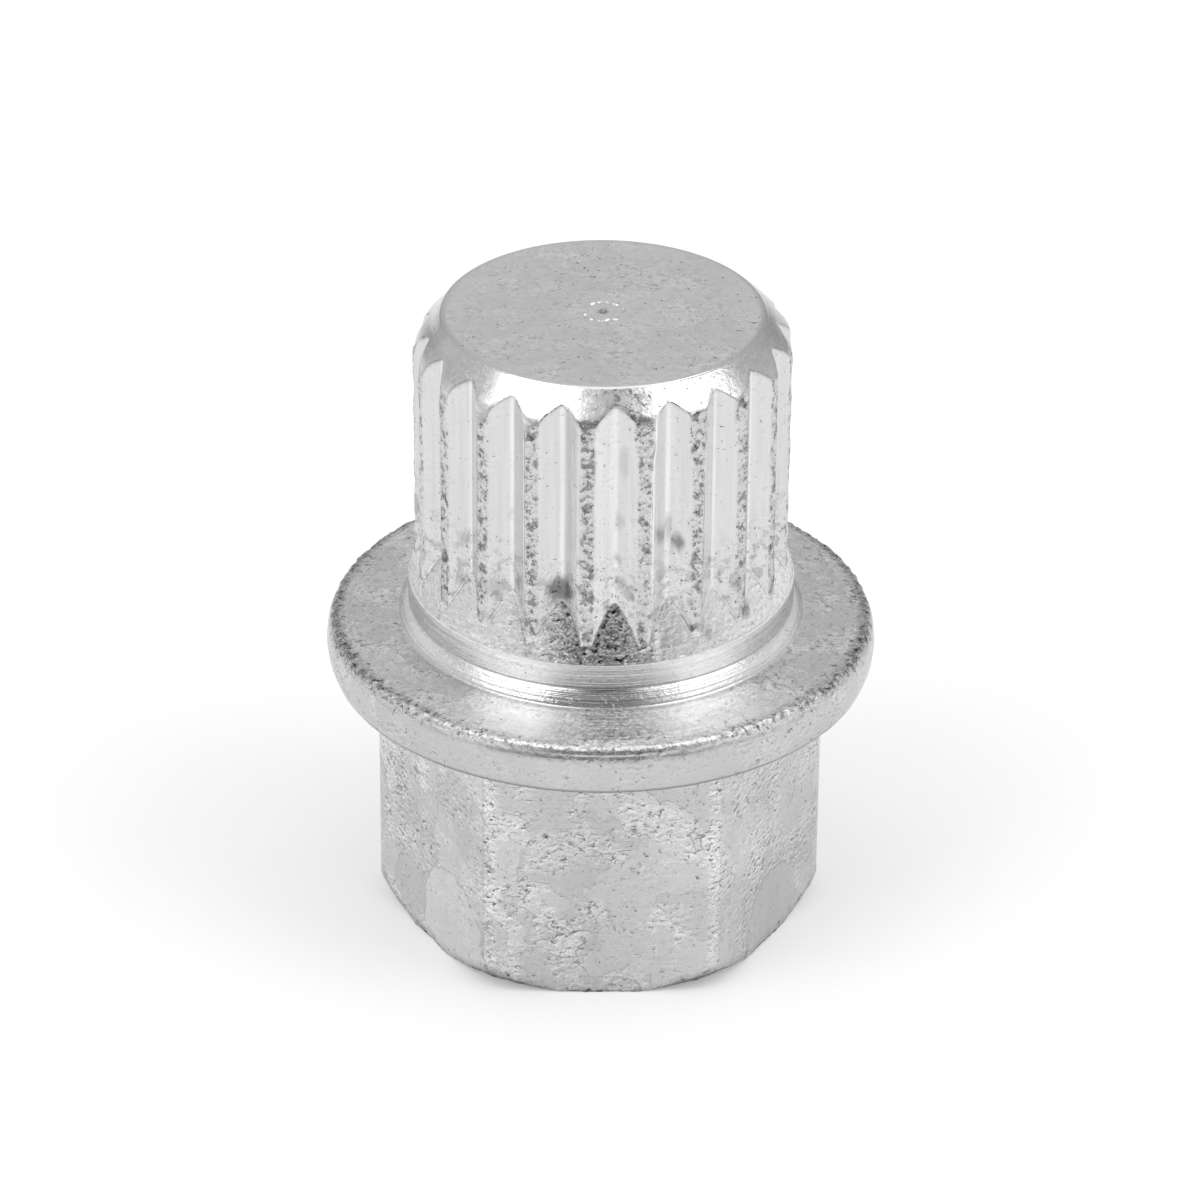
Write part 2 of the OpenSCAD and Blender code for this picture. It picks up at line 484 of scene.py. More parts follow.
    def turned_rings(self):
        """The turned surface, whose columns drift from even ones to those of the ridges."""
        inside = self.s.flange_d / 2.0 - RIM_EDGE_INSIDE

        def by_rim_edge(p):
            return abs(p.y - self.flange_top) < RIM_EDGE_REACH and p.x > inside

        for p in filled(self.turned_outline(), TURNED_STEP, by_rim_edge):
            t = smooth((p.y - self.foot_z) / (self.neck_top - self.foot_z))
            az = self.even + (self.spline_az - self.even) * t
            yield Ring(self.turned_part(p.y), az, p.x, p.y)

    def turned_part(self, z):
        """The part of the turned surface at that height."""
        if z <= self.s.hex_h:
            return "under"
        if z < self.flange_top - RIM_SHOULDER:
            return "rim"
        return "flange" if z < self.foot_z - 1e-6 else "neck"

    def cone_rings(self):
        """The run-out cone, up to the arches between the ridges."""
        s = self.s
        bottom = self.neck_top + 0.1 * MM
        for t in spread(CONE_RINGS, 0.6):
            z = bottom + (self.low - bottom) * t
            r = s.neck_d / 2.0 - (z - self.neck_top) * math.tan(s.runout_angle)
            runout = smooth(1.0 - (self.low - z) / CONE_LINE)
            yield Ring("cone", self.spline_az, r, z, runout=runout)

    def spline_rings(self):
        """The ridges and grooves."""
        az = self.spline_az
        root = smooth(1.0 - (self.groove - np.min(self.groove)) / LAND_EDGE)
        for t in spread(SPLINE_RINGS, 0.75)[1:]:
            z = self.low + (self.high - self.low) * t
            crest = self.crest_radius(az, z)
            land = smooth((self.groove - crest) / LAND_EDGE + 0.5)
            yield Ring("spline", az, np.minimum(self.groove, crest), z, land=land, root=root,
                       arch=smooth(1.0 - (self.high - z) / ARCH_LINE),
                       runout=smooth(1.0 - (z - self.low) / RUNOUT_LINE))

    def chamfer_rings(self):
        """The chamfer of the tip, from the ridges in to the edge of the end face."""
        az = self.spline_az
        inner = self.tip_r + 0.08 * MM
        for t in spread(TIP_RINGS, 0.5)[1:]:
            r = self.high_r + (inner - self.high_r) * t
            yield Ring("tip", az, r, self.tip_height(r, az),
                       arch=smooth(1.0 - (self.high_r - r) / CHAMFER_LINE))

    def tip_rings(self):
        """The rounded edge and the flat end face with its centre mark."""
        s = self.s
        az = self.spline_az
        edge = rounded([(self.tip_r + 0.3 * MM, s.total_h - 0.3 * MM, 0.0),
                        (self.tip_r, s.total_h, s.tip_edge_r),
                        (self.tip_r - 1.0 * MM, s.total_h, 0.0)])[1:-1]
        for p in edge:
            yield Ring("tip edge", az, p.x, p.y)
        for every, outer, inner, count in FACE_RINGS:
            some = az[::every]
            for r in np.linspace(outer, inner, count) * MM:
                yield Ring("face", some, r, s.total_h - self.mark_dip(some, r))

    def mark_dip(self, az, r):
        """Depth of the centre mark: a dimple in a broken ring that the tool left."""
        s = self.s
        along = az * MARK_ROUND_R
        dimple = s.mark_depth * smooth(1.0 - r / (MARK_DIMPLE * s.mark_d))
        broken = smooth(0.35 + 3.0 * ripple(along, 0.0, 0.33 * MM, 5.0))
        middle = MARK_RING * s.mark_d * (1.0 + 0.10 * ripple(along, 0.0, 0.5 * MM, 9.0))
        ring = smooth(1.0 - np.abs(r - middle) / MARK_RING_W)
        return dimple + s.mark_ring_depth * ring * broken


class Skin:
    """All points of the closed skin, ring by ring, and the faces between them."""

    def __init__(self, form):
        rings = list(form.rings())
        counts = [len(ring.az) for ring in rings]
        *starts, total = np.cumsum([0, *counts])
        loops = [start + np.arange(count) for start, count in zip(starts, counts)]
        self.faces = []
        for low, high in zip(loops, loops[1:]):
            self.faces += join(low, high)
        self.faces += cap(loops[0], total, upward=False)
        self.faces += cap(loops[-1], total + 1, upward=True)
        ends = [Ring("end", [0.0], 0.0, 0.0),
                Ring("face", [0.0], 0.0, form.s.total_h - form.s.mark_depth)]
        for name in ("az", "r", "z", *MARKS):
            values = [getattr(ring, name) for ring in rings + ends]
            setattr(self, name, np.concatenate(values).astype(float))
        self.part = np.concatenate([[ring.part] * len(ring.az) for ring in rings + ends])
        self.points = np.column_stack(
            [self.r * np.sin(self.az), -self.r * np.cos(self.az), self.z])

    def on(self, *names):
        """1 on the parts named, 0 elsewhere."""
        return np.isin(self.part, names).astype(float)


def join(low, high):
    """Faces between two rings, of equal count or one with half the columns."""
    n = min(len(low), len(high))
    ahead = (np.arange(n) + 1) % n
    if len(low) == len(high):
        return np.stack([low, low[ahead], high[ahead], high], axis=1).tolist()
    # Three triangles fill the place of two columns, where a, b and c are points of the ring
    # with more of them, and d and e points of the other ring
    if len(high) > n:
        a, b, c, d, e = high[::2], high[1::2], high[::2][ahead], low, low[ahead]
        triangles = ((d, b, a), (d, e, b), (e, c, b))
    else:
        a, b, c, d, e = low[::2], low[1::2], low[::2][ahead], high, high[ahead]
        triangles = ((a, b, d), (b, e, d), (b, c, e))
    return np.concatenate([np.stack(t, axis=1) for t in triangles]).tolist()


def cap(ring, middle, upward):
    """A fan from a ring to the point in its middle."""
    ahead = np.roll(ring, -1)
    a, b = (ring, ahead) if upward else (ahead, ring)
    return np.stack([a, b, np.full_like(ring, middle)], axis=1).tolist()


def turned_from(az, degrees):
    """Angle from an azimuth in degrees, between half a turn back and half a turn ahead."""
    return (az - math.radians(degrees) + math.pi) % math.tau - math.pi


def near(az, degrees, reach):
    """1 at an azimuth in degrees, falling smoothly to 0 at the reach on either side."""
    return smooth(1.0 - np.abs(turned_from(az, degrees)) / math.radians(reach))


def ripple(along, up, scale, seed):
    """Smooth noise over two directions, about -1 to 1."""
    along, up = np.broadcast_arrays(along, up)
    return np.array([noise.noise((a / scale, u / scale, seed)) * 2.0
                     for a, u in zip(along.ravel(), up.ravel())]).reshape(along.shape)


def lumps(points, scale, seed):
    """Smooth noise in space, about -1 to 1."""
    shift = Vector((seed, seed * 0.7, -seed))
    return np.array([noise.noise(Vector(p) / scale + shift) * 2.0 for p in points])


def new_mesh_object(name, points, faces):
    """A smooth object in the scene from points in metres and faces."""
    mesh = bpy.data.meshes.new(name)
    mesh.from_pydata([tuple(p) for p in points], [], faces)
    mesh.validate()
    mesh.polygons.foreach_set("use_smooth", [True] * len(mesh.polygons))
    obj = bpy.data.objects.new(name, mesh)
    bpy.context.scene.collection.objects.link(obj)
    return obj


def displace(mesh, move):
    """Moves every point along its normal, and keeps them all inside the solid's box."""
    count = len(mesh.vertices)
    points, normals = np.empty(count * 3), np.empty(count * 3)
    mesh.vertices.foreach_get("co", points)
    mesh.vertex_normals.foreach_get("vector", normals)
    moved = points.reshape(-1, 3) + normals.reshape(-1, 3) * move[:, None]
    mesh.vertices.foreach_set("co", np.clip(moved, CAD_LOW, CAD_HIGH).ravel())
    mesh.update()


def add_attribute(mesh, name, values):
    """Stores a number at every point, for the material to read."""
    layer = mesh.attributes.new(name, "FLOAT", "POINT")
    layer.data.foreach_set("value", np.asarray(values, dtype=np.float32))


class Wire:
    """A number or vector in a node tree. Sums and products on it add Math nodes."""

    def __init__(self, tree, socket):
        self.tree = tree
        self.socket = socket

    def math(self, operation, *values):
        """A Math node on the values, which are wires or numbers."""
        return self.tree.add("ShaderNodeMath", {"operation": operation},
                             dict(enumerate(values)))

    def __add__(self, other):
        return self.math("ADD", self, other)

    def __radd__(self, other):
        return self.math("ADD", other, self)

    def __sub__(self, other):
        return self.math("SUBTRACT", self, other)

    def __rsub__(self, other):
        return self.math("SUBTRACT", other, self)

    def __mul__(self, other):
        return self.math("MULTIPLY", self, other)

    def __rmul__(self, other):
        return self.math("MULTIPLY", other, self)


class Tree:
    """Builds the nodes of one material or world."""

    def __init__(self, owner):
        owner.use_nodes = True
        self.nodes = owner.node_tree.nodes
        self.links = owner.node_tree.links
        self.nodes.clear()

    def add(self, kind, settings=None, inputs=None, output=0):
        """A node of that type, its settings first, then its inputs."""
        node = self.nodes.new(kind)
        for name, value in (settings or {}).items():
            setattr(node, name, value)
        for name, value in (inputs or {}).items():
            if isinstance(value, Wire):
                self.links.new(value.socket, node.inputs[name])
            else:
                node.inputs[name].default_value = value
        if isinstance(output, tuple):
            return [Wire(self, node.outputs[name]) for name in output]
        return Wire(self, node.outputs[output]) if len(node.outputs) else None

    def between(self, value, low, high):
        """0 below low, 1 above high, smooth in between."""
        return self.add("ShaderNodeMapRange", {"interpolation_type": "SMOOTHSTEP"},
                        {"Value": value, "From Min": low, "From Max": high})

    def noise(self, vector, scale, detail=2.0, roughness=0.5):
        """Noise about 0.5, with that many lumps over a length of 1 in the vector."""
        return self.add("ShaderNodeTexNoise", None,
                        {"Vector": vector, "Scale": scale, "Detail": detail,
                         "Roughness": roughness})

    def stretched(self, vector, x, y, z):
        """The vector with each of its three values multiplied."""
        return self.add("ShaderNodeVectorMath", {"operation": "MULTIPLY"},
                        {0: vector, 1: (x, y, z)})


# How far the painted light side of a lump lies from its painted dark side, in stretched
# millimetres
LIT_STEP = (0.03, 0.03, -0.10)

# Noise levels between which chips, flakes and worn places begin
CHIP_BEGINS = (0.585, 0.635)
FLAKE_BEGINS = (0.500, 0.508)
WORN_BEGINS = (0.46, 0.58)


def zinc_noises(tree, at):
    """The noises that mark the zinc, over a place in millimetres."""
    flat = tree.stretched(at, 1.0, 1.0, 1.4)
    beside = tree.add("ShaderNodeVectorMath", {"operation": "ADD"}, {0: flat, 1: LIT_STEP})
    coarse = tree.noise(flat, scale=3.6, detail=4.0, roughness=0.62)
    lower = tree.noise(beside, scale=3.6, detail=4.0, roughness=0.62)
    chips = tree.between(coarse, *CHIP_BEGINS)
    wear = tree.noise(at, scale=0.5, detail=4.0, roughness=0.6)
    sheets = tree.noise(at, scale=0.30, detail=4.0, roughness=0.5)
    along = tree.stretched(at, 4.5, 4.5, 0.22)
    across = tree.stretched(at, 1.9, 1.9, 6.5)
    smudges = tree.noise(at, scale=2.2, detail=3.0, roughness=0.6)
    return SimpleNamespace(
        fine=tree.noise(at, scale=9.0, detail=3.0, roughness=0.65),
        coarse=coarse,
        chips=chips,
        # Painted light and shade on the lumps and chips: each is drawn lighter on its lower side
        # and darker on its upper side
        relief=1.1 * (coarse - lower) + 0.37 * (chips - tree.between(lower, *CHIP_BEGINS)),
        drawn=tree.noise(along, scale=1.0, detail=3.0, roughness=0.6),
        lines=tree.noise(round_axis(tree, at), scale=6.5, detail=3.0, roughness=0.7),
        dash=tree.noise(across, scale=1.0, detail=3.0, roughness=0.6),
        worn=tree.between(wear, *WORN_BEGINS),
        flakes=tree.between(sheets, *FLAKE_BEGINS),
        cracks=sheets.math("COMPARE", sheets, 0.499, 0.0025),
        blots=tree.between(smudges, 0.50, 0.64),
        spots=pits(tree, at, scale=0.9, reach=0.27, rarity=0.5),
        ragged=0.5 * tree.noise(at, scale=0.8, detail=4.0, roughness=0.6) - 0.25)


def zinc_fields(tree, noises, plain):
    """The fields of the skin, with grain and mottle held back where there are plates."""
    field = SimpleNamespace()
    for name in FIELDS:
        wire = tree.add("ShaderNodeAttribute", {"attribute_name": name}, output="Fac")
        setattr(field, name, wire)
    field.grain = field.grain * (0.15 + 0.85 * plain)
    field.mottle = field.mottle * (0.3 + 0.7 * plain)
    field.marked = field.mottle * (0.12 + 0.88 * noises.worn)
    return field


def zinc_marks(tree, at, field, noises):
    """Specks, dots, dashes and glinting flecks, each from 0 to 1; the flecks are lit as painted
    glints.
    """
    limit = 0.74 - 0.26 * field.speck * (0.85 + 0.15 * noises.worn)
    pitted = noises.coarse + 0.7 * (noises.fine - 0.5)
    specks = tree.between(pitted, limit, limit + 0.08)
    dots = pits(tree, at, scale=1.25, reach=0.07, rarity=0.75)
    dashes = tree.between(noises.dash + 0.4 * (noises.fine - 0.5), 0.64, 0.69)
    glinting_flecks = tree.between(noises.coarse * 0.35 + noises.fine * 0.65, 0.58, 0.62)
    return SimpleNamespace(
        specks=specks,
        dots=dots * tree.between(field.marked, 0.05, 0.5),
        dashes=dashes * field.marked,
        glinting_flecks=glinting_flecks * (1.0 - specks),
        pepper=tree.between(1.0 - noises.fine, 0.58, 0.64))


def zinc_shade(finish, field, noises, marks):
    """How much darker or lighter than its tone the zinc is."""
    grain, mottle, marked = field.grain, field.mottle, field.marked
    shade = 1.0 - finish.speck_dark * marks.specks
    shade = shade * (1.0 - finish.dot_dark * marks.dots)
    shade = shade * (1.0 - finish.dash_dark * marks.dashes)
    shade = shade * (1.0 + mottle * (0.09 * noises.flakes + 0.13 * noises.worn - 0.10))
    shade = shade * (1.0 - finish.blot_dark * field.smudge * noises.blots)
    # Painted light and shade of the lumps and chips, strongest where the zinc is marked or grainy
    shade = shade * (1.0 + (marked + grain) * noises.relief)
    shade = shade * (1.0 - marked * (0.14 * noises.chips + finish.crack_dark * noises.cracks))
    shade = shade * (1.0 - finish.spot_dark * field.streak * field.smudge * noises.spots)
    # Painted glints: the raised flecks are drawn lighter, as sparkles of light
    light = (0.7 * grain + 0.25 * marked) * marks.glinting_flecks
    shade = shade * (1.0 + grain * (0.9 * noises.fine - 0.45) + light)
    shade = shade * (1.0 - finish.pepper_dark * (marked + 0.5 * grain) * marks.pepper)
    shade = shade * (1.0 + finish.streak_depth * field.streak * (noises.drawn - 0.5))
    return shade * (1.0 + finish.line_depth * field.turned * (noises.lines - 0.5))


def zinc_height(field, noises, marks):
    """The finest relief of the zinc, for the bump."""
    rise = field.grain.math("MINIMUM", field.grain, 1.0)
    height = rise * (0.5 * noises.fine + 0.8 * noises.coarse + 0.4 * marks.glinting_flecks)
    height = height + 0.22 * field.turned * noises.lines
    height = height + 0.06 * field.streak * noises.drawn
    height = height - 0.6 * marks.specks - 0.5 * marks.dots - 0.5 * marks.dashes
    height = height + 0.15 * field.mottle * noises.flakes
    return height + 0.3 * field.marked * noises.coarse


def zinc_material(finish):
    """Bright zinc over forged steel, with specks, grain, streaks and turned lines, and with the
    painted light, shade and glints that its tone and lumps carry.
    """
    material = bpy.data.materials.new("zinc_plate")
    tree = Tree(material)
    place = tree.add("ShaderNodeTexCoord", output="Object")
    at = tree.add("ShaderNodeVectorMath", {"operation": "SCALE"},
                  {0: place, "Scale": 1.0 / MM})
    noises = zinc_noises(tree, at)
    plain, plate_shade = plates(tree, at, noises.ragged)
    field = zinc_fields(tree, noises, plain)
    marks = zinc_marks(tree, at, field, noises)
    tone = field.tone * plate_shade * zinc_shade(finish, field, noises, marks)
    colour = tree.add("ShaderNodeMix", {"data_type": "RGBA", "clamp_factor": True},
                      {"Factor": tone, 6: (0.0, 0.0, 0.0, 1.0), 7: (*finish.tint, 1.0)},
                      output=2)
    bump = tree.add("ShaderNodeBump", None,
                    {"Height": zinc_height(field, noises, marks), "Strength": 1.0,
                     "Distance": finish.bump_depth})
    shader = tree.add("ShaderNodeBsdfPrincipled", None,
                      {"Base Color": colour, "Metallic": 1.0,
                       "Roughness": field.rough + 0.12 * marks.specks, "Normal": bump})
    tree.add("ShaderNodeOutputMaterial", None, {"Surface": shader})
    return material


# Smooth plates low on the hexagon: azimuth of the flat, place along it and height, reach
# along it and up in millimetres, and how much darker or lighter than the flat
PLATES = (
    (-60.0, -1.7, 1.8, 1.4, 1.4, 0.88),
    (-60.0, 2.0, 1.3, 2.5, 3.0, 1.05),
    (60.0, 0.2, 1.2, 2.3, 2.2, 0.91),
)

# Distances from the axis, in millimetres, between which a flat's plates begin
PLATE_BEGINS = (8.0, 8.3)


def plates(tree, at, ragged):
    """How free of plates the zinc is, and how they and their edges shade it."""
    plain, shade = 1.0, 1.0
    for degrees, along, height, across, up, factor in PLATES:
        turned = tree.add("ShaderNodeVectorRotate", {"rotation_type": "Z_AXIS"},
                          {"Vector": at, "Angle": -math.radians(degrees)})
        beside = tree.add("ShaderNodeVectorMath", {"operation": "SUBTRACT"},
                          {0: turned, 1: (along, 0.0, height)})
        flat = tree.stretched(beside, 1.0 / across, 0.0, 1.0 / up)
        out = tree.add("ShaderNodeSeparateXYZ", None, {0: turned}, output="Y")
        edge = tree.add("ShaderNodeVectorMath", {"operation": "LENGTH"}, {0: flat}, "Value")
        inside = 1.0 - edge - ragged
        face = tree.between(out * -1.0, *PLATE_BEGINS)
        plate = tree.between(inside, 0.0, 0.02) * face
        rim = tree.between(inside, -0.03, 0.0) * face - plate
        plain = plain * (1.0 - plate)
        shade = shade * (1.0 + (factor - 1.0) * plate) * (1.0 - 0.14 * rim)
    return plain, shade


def pits(tree, at, scale, reach, rarity):
    """Small round pits or spots, in the cells whose chance is above the rarity."""
    settings = {"feature": "F1"}
    cell = {"Vector": at, "Scale": scale}
    distance = tree.add("ShaderNodeTexVoronoi", settings, cell, "Distance")
    chance = tree.add("ShaderNodeSeparateColor", None,
                      {0: tree.add("ShaderNodeTexVoronoi", settings, cell, "Color")})
    inside = reach * (0.4 + chance) - distance
    is_there = tree.between(chance, rarity, rarity + 0.05)
    return tree.between(inside, 0.0, 0.35 * reach) * is_there


def round_axis(tree, at):
    """Distance from the axis and height, so that noise on them runs round the key."""
    flat = tree.stretched(at, 1.0, 1.0, 0.0)
    radius = tree.add("ShaderNodeVectorMath", {"operation": "LENGTH"}, {0: flat}, "Value")
    height = tree.add("ShaderNodeSeparateXYZ", None, {0: at}, output="Z")
    return tree.add("ShaderNodeCombineXYZ", None, {0: radius, 1: height, 2: 0.0})


# The fields that the zinc reads. Each part of the surface gives them in this order, its
# tone as the name of a property.
FIELDS = ("tone", "rough", "speck", "grain", "streak", "turned", "mottle", "smudge")
SURFACES = {
    "end": ("hex_tone", 0.34, 0.45, 0.5, 0.0, 0.2, 1.0, 0.2),
    "hex end": ("hex_tone", 0.34, 0.60, 0.6, 0.0, 0.2, 1.0, 0.2),
    "hex": ("hex_tone", 0.27, 0.25, 0.16, 0.0, 0.0, 1.0, 0.05),
    "under": ("hex_tone", 0.34, 0.30, 0.40, 0.0, 0.3, 0.8, 0.2),
    "rim": ("rim_tone", 0.26, 0.30, 0.20, 0.0, 0.1, 0.6, 0.0),
    "flange": ("flange_tone", 0.22, 0.28, 0.22, 0.0, 0.9, 0.5, 0.10),
    "neck": ("neck_tone", 0.15, 0.10, 0.20, 0.0, 1.5, 0.1, 0.0),
    "cone": ("cone_tone", 0.18, 0.26, 0.30, 0.0, 0.5, 0.3, 0.2),
    "spline": ("groove_tone", 0.20, 0.10, 0.03, 1.0, 0.0, 0.1, 0.0),
    "tip": ("chamfer_tone", 0.20, 0.04, 0.08, 0.0, 0.2, 0.1, 0.1),
    "tip edge": ("chamfer_tone", 0.16, 0.10, 0.05, 0.0, 0.0, 0.0, 0.0),
    "face": ("face_tone", 0.26, 0.30, 0.05, 0.0, 0.2, 0.45, 0.12),
}

# Soft grey stains on the grooves: azimuth in degrees, height, reach across and up in
# millimetres, and strength
STAINS = (
    (-14.0, 19.1, 0.62, 0.62, 1.3), (-7.3, 19.4, 0.14, 0.20, 0.9), (-50.0, 20.2, 0.20, 0.20, 0.6),
    (-51.5, 18.2, 0.25, 0.30, 0.7), (-36.0, 18.7, 0.45, 0.40, 0.5), (5.0, 19.5, 0.35, 0.35, 0.5),
    (4.5, 22.4, 0.22, 0.38, 0.4), (6.0, 25.2, 0.22, 0.80, 0.3), (9.0, 18.9, 0.13, 0.13, 0.8),
    (23.5, 21.2, 0.30, 0.38, 1.1), (20.7, 21.9, 0.20, 0.60, 0.5), (27.0, 18.3, 0.15, 0.15, 0.8),
    (49.0, 17.0, 0.32, 0.38, 0.9), (33.0, 16.7, 0.22, 0.22, 0.7), (45.0, 18.4, 0.32, 0.30, 0.5),
    (-31.0, 22.1, 0.15, 0.15, 0.6), (44.0, 24.4, 0.13, 0.13, 0.6), (4.2, 20.6, 0.20, 0.20, 0.5),
)


def line(off, width, fullness):
    """1 along a line, falling to 0 where the distance is that many times the width."""
    return smooth(fullness - np.abs(off) / width)


class WearAndPaintedLight:
    """The zinc's fields at every point, changed region by region for wear and for painted light,
    shade and highlights.
    """

    def __init__(self, form, skin, finish):
        self.form, self.skin, self.finish = form, skin, finish
        index = {name: i for i, name in enumerate(SURFACES)}
        which = np.array([index[part] for part in skin.part])
        rows = [[getattr(finish, tone), *rest] for tone, *rest in SURFACES.values()]
        self.fields = dict(zip(FIELDS, np.array(rows)[which].T))
        self.grooves()
        self.cone_and_neck()
        self.tip()
        self.flange()
        self.rim()
        self.flats()
        self.hexagon_edges()
        self.stains()

    def blend(self, mask, **targets):
        """Draws fields towards their targets, all the way where the mask is 1."""
        for name, target in targets.items():
            self.fields[name] = self.fields[name] + (target - self.fields[name]) * mask

    def around(self, part, degrees, reach, edge=1.0):
        """1 on a part at an azimuth, falling to 0 at the reach, more abruptly for a low edge."""
        return self.skin.on(part) * near(self.skin.az, degrees, reach) ** edge

    def grooves(self):
        """Flanks, rough lands and roots, and the lines where the grooves begin and end, with
        painted light on flanks turned one way, painted highlights along roots and run-out edges,
        and painted shade along the arches.
        """
        skin, form = self.skin, self.form
        patchy = 0.5 + 0.5 * lumps(skin.points, 0.5 * MM, 21.0)
        from_ridge = (skin.az - form.s.spline_turn) % form.pitch / form.pitch
        faces_right = (1.0 - skin.root) * (from_ridge < 0.5)
        faces_left = (1.0 - skin.root) * (from_ridge > 0.5)
        # Painted light: flanks facing one way are drawn lighter at these azimuths, where the
        # lamps would light them
        self.blend(self.around("spline", 30.0, 42.0, 0.6) * faces_right, tone=0.89)
        self.blend(self.around("spline", -38.0, 24.0, 0.6) * faces_left, tone=0.80)
        self.blend(skin.land, tone=self.finish.ridge_tone, rough=0.26, grain=0.6, streak=0.0,
                   speck=0.46 + 0.42 * patchy, smudge=1.15)
        # Painted highlight: the groove roots are drawn lighter, a line of light along each root
        self.blend(skin.root ** 2 * (1.0 - skin.land), tone=0.78, rough=0.18)
        # Painted highlight: a lighter line along the run-out edges on the grooves
        self.blend(skin.on("spline") * self.runout_highlight(), tone=0.82, rough=0.2, speck=0.0)
        # Painted shade: a darker, patchy line along the arches, where the grooves meet the
        # chamfer
        self.blend(skin.arch * smooth(1.4 * patchy), tone=0.42, grain=0.4)
        low = smooth((21.5 * MM - skin.z) / (2.5 * MM)) * (1.0 - skin.land)
        self.blend(skin.on("spline") * low, speck=0.34, grain=0.20, smudge=0.60)

    def runout_highlight(self):
        """1 along the edges of the run-outs, which fade out on the right; a painted highlight is
        drawn there.
        """
        return self.skin.runout * (1.0 - 0.8 * near(self.skin.az, 58.0, 46.0))

    def cone_and_neck(self):
        """The run-out cone with its grainy front, and the neck, with painted shade on the cone's
        left, a painted dark reflection in front and a painted shadow line in the neck's fine
        groove.
        """
        skin = self.skin
        # Painted shade: the cone's left side is drawn darker
        self.blend(self.around("cone", -75.0, 38.0), tone=0.60)
        # Painted highlight: a lighter line along the run-out edges on the cone
        self.blend(skin.on("cone") * self.runout_highlight(), tone=0.78, speck=0.0)
        # Painted dark reflection: the cone's front is drawn much darker; its coarse grain and
        # specks are its own
        self.blend(self.around("cone", -1.5, 18.0, 0.3), tone=0.31, speck=0.46, grain=3.7)
        # Painted dark reflection: the neck is drawn darker in front
        self.blend(self.around("neck", 1.0, 24.0), tone=0.61)
        # Painted shadow: a dark line in the fine groove where neck meets foot, only in front
        seam_shadow = line(skin.z - self.form.neck_z + 0.01 * MM, 0.03 * MM, 1.4)
        self.blend(self.around("neck", 0.5, 10.0, 0.4) * seam_shadow, tone=0.10)

    def tip(self):
        """The chamfer, with a painted dark reflection in front and painted shade at the back, and
        painted shade in the dimple of the end face.
        """
        skin = self.skin
        # Painted dark reflection: the chamfer's front is drawn darker; its specks and smudges are
        # its own
        self.blend(self.around("tip", 6.0, 17.0, 0.6),
                   tone=0.58, speck=0.50, grain=0.2, smudge=1.0, rough=0.24)
        self.blend(self.around("tip", 36.0, 24.0), speck=0.42, grain=0.3)
        # Painted shade: the chamfer and its edge are drawn darker at the back
        shaded_back = (1.0 - near(skin.az, -2.0, 92.0)) ** 1.5 * near(skin.az, 10.0, 200.0)
        self.blend(skin.on("tip", "tip edge") * shaded_back, tone=0.40)
        # Painted shade: the dimple in the middle of the end face is drawn dark
        self.blend(skin.on("face") * line(skin.r, 0.2 * MM, 1.5), tone=0.34)

    def flange(self):
        """Two places lit as a painted sheen beside a turned and speckled one drawn darker as a
        painted dark reflection, painted shade on the far side, and a painted shadow beside the
        foot.
        """
        skin = self.skin
        # Painted sheen: two places either side of the front are drawn bright, as turned metal
        # catches the lamps
        painted_sheen = np.maximum(near(skin.az, -22.0, 19.0), near(skin.az, 28.0, 19.0)) ** 0.7
        self.blend(skin.on("flange") * painted_sheen, tone=0.94, mottle=0.3, rough=0.32, turned=1.4)
        # Painted dark reflection: the front is drawn darker; its specks, grain and turned lines
        # are its own
        self.blend(self.around("flange", 2.0, 14.0),
                   tone=0.60, speck=0.50, grain=1.3, turned=3.4)
        # Painted shade: the far side is drawn a little darker, and more grainy and speckled
        self.blend(skin.on("flange") * (1.0 - near(skin.az, 0.0, 75.0)) * 0.8,
                   tone=0.71, grain=0.35, speck=0.36, mottle=1.0, turned=0.5)
        # Painted shadow: a dark ring on the flange beside the foot
        foot_shadow = line(skin.r - self.form.s.foot_d / 2.0 - 0.22 * MM, 0.11 * MM, 1.4)
        self.blend(self.around("flange", 0.0, 100.0) * foot_shadow, tone=0.54)

    def rim(self):
        """The rim with its battered upper edge, lighter in front as a painted highlight, and
        painted shade in lines beside both edges.
        """
        skin, form = self.skin, self.form
        front = near(skin.az, 0.0, 68.0) ** 0.7
        self.blend(skin.on("rim") * front, mottle=0.3, speck=0.22, grain=0.12)
        # The battered edge is speckled and grainy all round; it is drawn lighter in front as a
        # painted highlight
        self.blend(chewed_edge(form, skin), tone=0.54 + 0.18 * front, rough=0.2,
                   speck=1.0 - 0.5 * front, turned=0.0, grain=1.2 - 0.7 * front)
        # Painted shade: a dark line just below the rim's upper edge, in front
        shade_below_edge = line(skin.z - form.flange_top + 0.23 * MM, 0.09 * MM, 1.3)
        shade_below_edge = shade_below_edge * near(skin.az, 1.0, 26.0) ** 0.6
        self.blend(skin.on("rim", "flange") * shade_below_edge, tone=0.38, speck=0.8)
        # Painted shade: a dark line along the rim's lower edge
        from_lower_edge = np.hypot(skin.r - form.s.flange_d / 2.0 + 0.3 * MM,
                                   skin.z - form.s.hex_h)
        self.blend(skin.on("rim", "under") * line(from_lower_edge, 0.16 * MM, 1.5), tone=0.24)

    def flats(self):
        """The flats of the hexagon: scuffed on both sides and drawn lighter there as painted
        light, and darker in front as painted shade.
        """
        skin, tone = self.skin, self.finish.hex_tone
        sides = np.maximum(near(skin.az, -60.0, 34.0), near(skin.az, 60.0, 34.0)) ** 0.5
        scuffed = smooth(0.4 + 2.2 * lumps(skin.points, 2.6 * MM, 31.0))
        scuffed = scuffed * (1.0 - 0.55 * smooth((skin.z - 7.5 * MM) / (2.5 * MM)))
